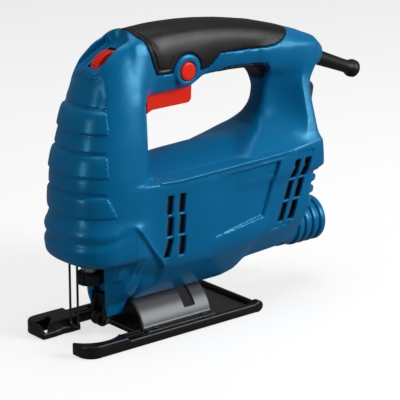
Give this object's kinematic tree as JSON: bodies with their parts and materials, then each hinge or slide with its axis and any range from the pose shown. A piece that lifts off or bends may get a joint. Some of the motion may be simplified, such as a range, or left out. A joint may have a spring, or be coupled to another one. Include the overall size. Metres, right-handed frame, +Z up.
{
  "type": "jigsaw power tool",
  "caption": "Hand-held jigsaw with a closed top handle, red trigger and lock button, speed wheel, ribbed dust spigot and a tilting shoe with a forked front.",
  "frame": {"origin": "on the flat underside of the sole, on the centre line, under the middle of the bevel saddle; the bevel axis runs through it", "axes": "+X towards the cord end, -X towards the nose and blade, +Z up, -Y is the tool's left side, which carries the lock button"},
  "size_m": [0.2593, 0.072, 0.1958],
  "materials": {
    "housing_plastic": "fine spark-eroded moulding texture with a soft sheen",
    "grip_rubber": "soft thermoplastic elastomer, matt",
    "black_plastic": "glass-filled nylon, satin",
    "red_plastic": "moulded through-colour red, satin",
    "beige_plastic": "potted capacitor case",
    "sheet_steel": "pressed steel, dark grey coating",
    "fastener_steel": "zinc plated",
    "bright_steel": "ground steel",
    "dark_steel": "blackened steel",
    "lamination_steel": "stacked laminations",
    "cast_metal": "die cast",
    "bronze": "sintered bronze, and copper wire",
    "carbon": "pressed carbon"
  },
  "bodies": {
    "sole": {"sole_shoe": "black_plastic", "sole_plate": "sheet_steel", "saddle": "sheet_steel", "saddle_rivet_1": "fastener_steel", "saddle_rivet_2": "fastener_steel", "saddle_rivet_3": "fastener_steel", "saddle_rivet_4": "fastener_steel"},
    "housing": {"housing_left": "housing_plastic", "housing_right": "housing_plastic", "grip_left": "grip_rubber", "grip_right": "grip_rubber", "under_grip": "grip_rubber", "dust_port": "housing_plastic", "cord_boot": "grip_rubber", "cable_clamp": "black_plastic", "clamp_plate": "sheet_steel", "clamp_screw": "fastener_steel", "gear_shaft": "bright_steel", "bearing_plate": "cast_metal", "front_bearing": "bright_steel", "plunger_bush_lower": "bronze", "plunger_bush_upper": "bronze", "stator_core": "lamination_steel", "field_winding_front": "bronze", "field_winding_rear": "bronze", "air_baffle": "black_plastic", "rear_bearing": "bright_steel", "bearing_cradle": "black_plastic", "brush_holder_left": "bronze", "brush_holder_right": "bronze", "carbon_brush_left": "carbon", "carbon_brush_right": "carbon", "switch_body": "black_plastic", "speed_module": "black_plastic", "capacitor": "beige_plastic", "roller_fork": "black_plastic", "roller_pin": "bright_steel", "chip_guard": "dark_steel", "housing_screw_1": "fastener_steel", "housing_screw_2": "fastener_steel", "housing_screw_3": "fastener_steel", "housing_screw_4": "fastener_steel", "housing_screw_5": "fastener_steel", "housing_screw_6": "fastener_steel"},
    "plunger_group": {"plunger": "bright_steel", "scotch_yoke": "sheet_steel", "blade_clamp": "dark_steel", "clamp_collar": "black_plastic"},
    "armature": {"armature_shaft": "bright_steel", "pinion": "bright_steel", "armature_core": "lamination_steel", "commutator": "bronze", "cooling_fan": "black_plastic"},
    "gear": {"drive_gear": "bright_steel", "crank_pin": "bright_steel"},
    "roller": {"guide_roller": "dark_steel"},
    "trigger": {"trigger": "red_plastic"},
    "lock_button": {"lock_button": "red_plastic"},
    "speed_wheel": {"speed_wheel": "red_plastic"},
    "hex_key": {"hex_key": "fastener_steel"}
  },
  "joints": [
    {"name": "bevel_tilt", "type": "hinge", "parent": "sole", "child": "housing", "pos_m": [0, 0, 0], "axis": [1, 0, 0], "range_deg": [-45, 45]},
    {"name": "plunger_stroke", "type": "slide", "parent": "housing", "child": "plunger_group", "axis": [0, 0, 1], "range_m": [-0.01, 0.01]},
    {"name": "armature_spin", "type": "hinge", "parent": "housing", "child": "armature", "pos_m": [0, 0, 0.076], "axis": [1, 0, 0], "continuous": true},
    {"name": "gear_spin", "type": "hinge", "parent": "housing", "child": "gear", "pos_m": [-0.03, 0, 0.10225], "axis": [1, 0, 0], "continuous": true},
    {"name": "roller_spin", "type": "hinge", "parent": "housing", "child": "roller", "pos_m": [-0.0436, 0, 0.0105], "axis": [0, 1, 0], "continuous": true},
    {"name": "trigger_squeeze", "type": "hinge", "parent": "housing", "child": "trigger", "pos_m": [-0.0095, 0, 0.153], "axis": [0, -1, 0], "range_deg": [0, 6], "stiffness_Nm_per_rad": 1.5, "springref_deg": -5.73},
    {"name": "lock_press", "type": "slide", "parent": "housing", "child": "lock_button", "axis": [0, 1, 0], "range_m": [0, 0.0025], "stiffness_N_per_m": 800, "springref_m": -0.002},
    {"name": "speed_dial", "type": "hinge", "parent": "housing", "child": "speed_wheel", "pos_m": [-0.0335, 0, 0.1704], "axis": [0, 1, 0], "range_deg": [-135, 135]},
    {"name": "key_pull", "type": "slide", "parent": "housing", "child": "hex_key", "axis": [1, 0, 0], "range_m": [0, 0.015]}
  ],
  "couplings": [
    {"joint": "gear_spin", "follows": "armature_spin", "ratio": -0.27273}
  ]
}
